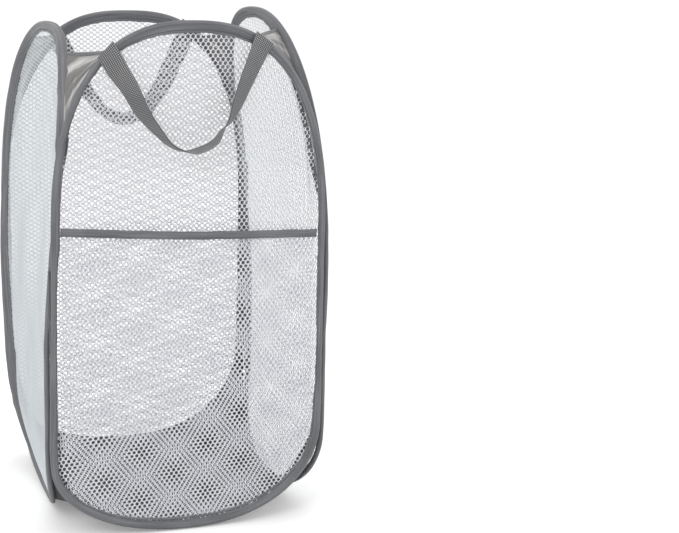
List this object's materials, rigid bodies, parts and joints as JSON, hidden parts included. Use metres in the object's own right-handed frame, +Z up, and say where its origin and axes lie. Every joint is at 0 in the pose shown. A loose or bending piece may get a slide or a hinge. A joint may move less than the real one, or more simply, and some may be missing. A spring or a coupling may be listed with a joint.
{
  "type": "pop up laundry hamper",
  "caption": "Tall square mesh laundry hamper with bound sprung wire hoops on each side, an open top, webbing handles and a front pocket, that folds flat.",
  "frame": {"origin": "on the floor, in the middle of the hamper's footprint", "axes": "+Z up, +Y from the front with the pocket to the back, +X to the right as seen from the front"},
  "size_m": [0.3446, 0.3921, 0.62],
  "materials": {
    "binding_tape": "matte ribbed polyester tape",
    "webbing": "speckled woven webbing",
    "satin": "smooth satin lining",
    "mesh": "open knitted polyester mesh",
    "spring_steel": "drawn spring wire"
  },
  "bodies": {
    "front": {"front_hoop_wire": "spring_steel", "front_wire_ferrule": "spring_steel", "front_binding": "binding_tape", "front_mesh_panel": "mesh", "front_pocket_mesh": "mesh", "front_pocket_hem": "binding_tape", "front_handle_left_tab": "webbing", "front_handle_right_tab": "webbing", "front_right_corner_seam": "binding_tape", "front_left_corner_seam": "binding_tape", "front_right_top_gusset": "satin", "front_left_top_gusset": "satin", "bottom_panel": "satin"},
    "right": {"right_hoop_wire": "spring_steel", "right_wire_ferrule": "spring_steel", "right_binding": "binding_tape", "right_mesh_panel": "mesh", "back_right_corner_seam": "binding_tape", "back_right_top_gusset": "satin"},
    "left": {"left_hoop_wire": "spring_steel", "left_wire_ferrule": "spring_steel", "left_binding": "binding_tape", "left_mesh_panel": "mesh", "back_left_corner_seam": "binding_tape", "back_left_top_gusset": "satin"},
    "back": {"back_hoop_wire": "spring_steel", "back_wire_ferrule": "spring_steel", "back_binding": "binding_tape", "back_mesh_panel": "mesh", "back_handle_left_tab": "webbing", "back_handle_right_tab": "webbing"},
    "front_handle": {"front_handle": "webbing"},
    "back_handle": {"back_handle": "webbing"}
  },
  "joints": [
    {"name": "right_fold", "type": "hinge", "parent": "front", "child": "right", "pos_m": [0.165, -0.165, 0.3], "axis": [0, 0, 1], "range_deg": [-60, 60], "stiffness_Nm_per_rad": 0.3, "deforming": ["bottom_panel", "front_right_top_gusset"]},
    {"name": "left_fold", "type": "hinge", "parent": "front", "child": "left", "pos_m": [-0.165, -0.165, 0.3], "axis": [0, 0, 1], "range_deg": [-60, 60], "deforming": ["front_left_top_gusset", "back_left_top_gusset"]},
    {"name": "back_fold", "type": "hinge", "parent": "right", "child": "back", "pos_m": [0.165, 0.165, 0.3], "axis": [0, 0, 1], "range_deg": [-60, 60], "deforming": ["back_right_top_gusset"]},
    {"name": "front_handle_swing", "type": "hinge", "parent": "front", "child": "front_handle", "pos_m": [-0.01, -0.18014, 0.562], "axis": [-1, 0, 0], "range_deg": [0, 170]},
    {"name": "back_handle_swing", "type": "hinge", "parent": "back", "child": "back_handle", "pos_m": [-0.01, 0.16945, 0.562], "axis": [1, 0, 0], "range_deg": [0, 170]}
  ],
  "couplings": [
    {"joint": "left_fold", "follows": "right_fold", "ratio": 1},
    {"joint": "back_fold", "follows": "right_fold", "ratio": -1}
  ]
}
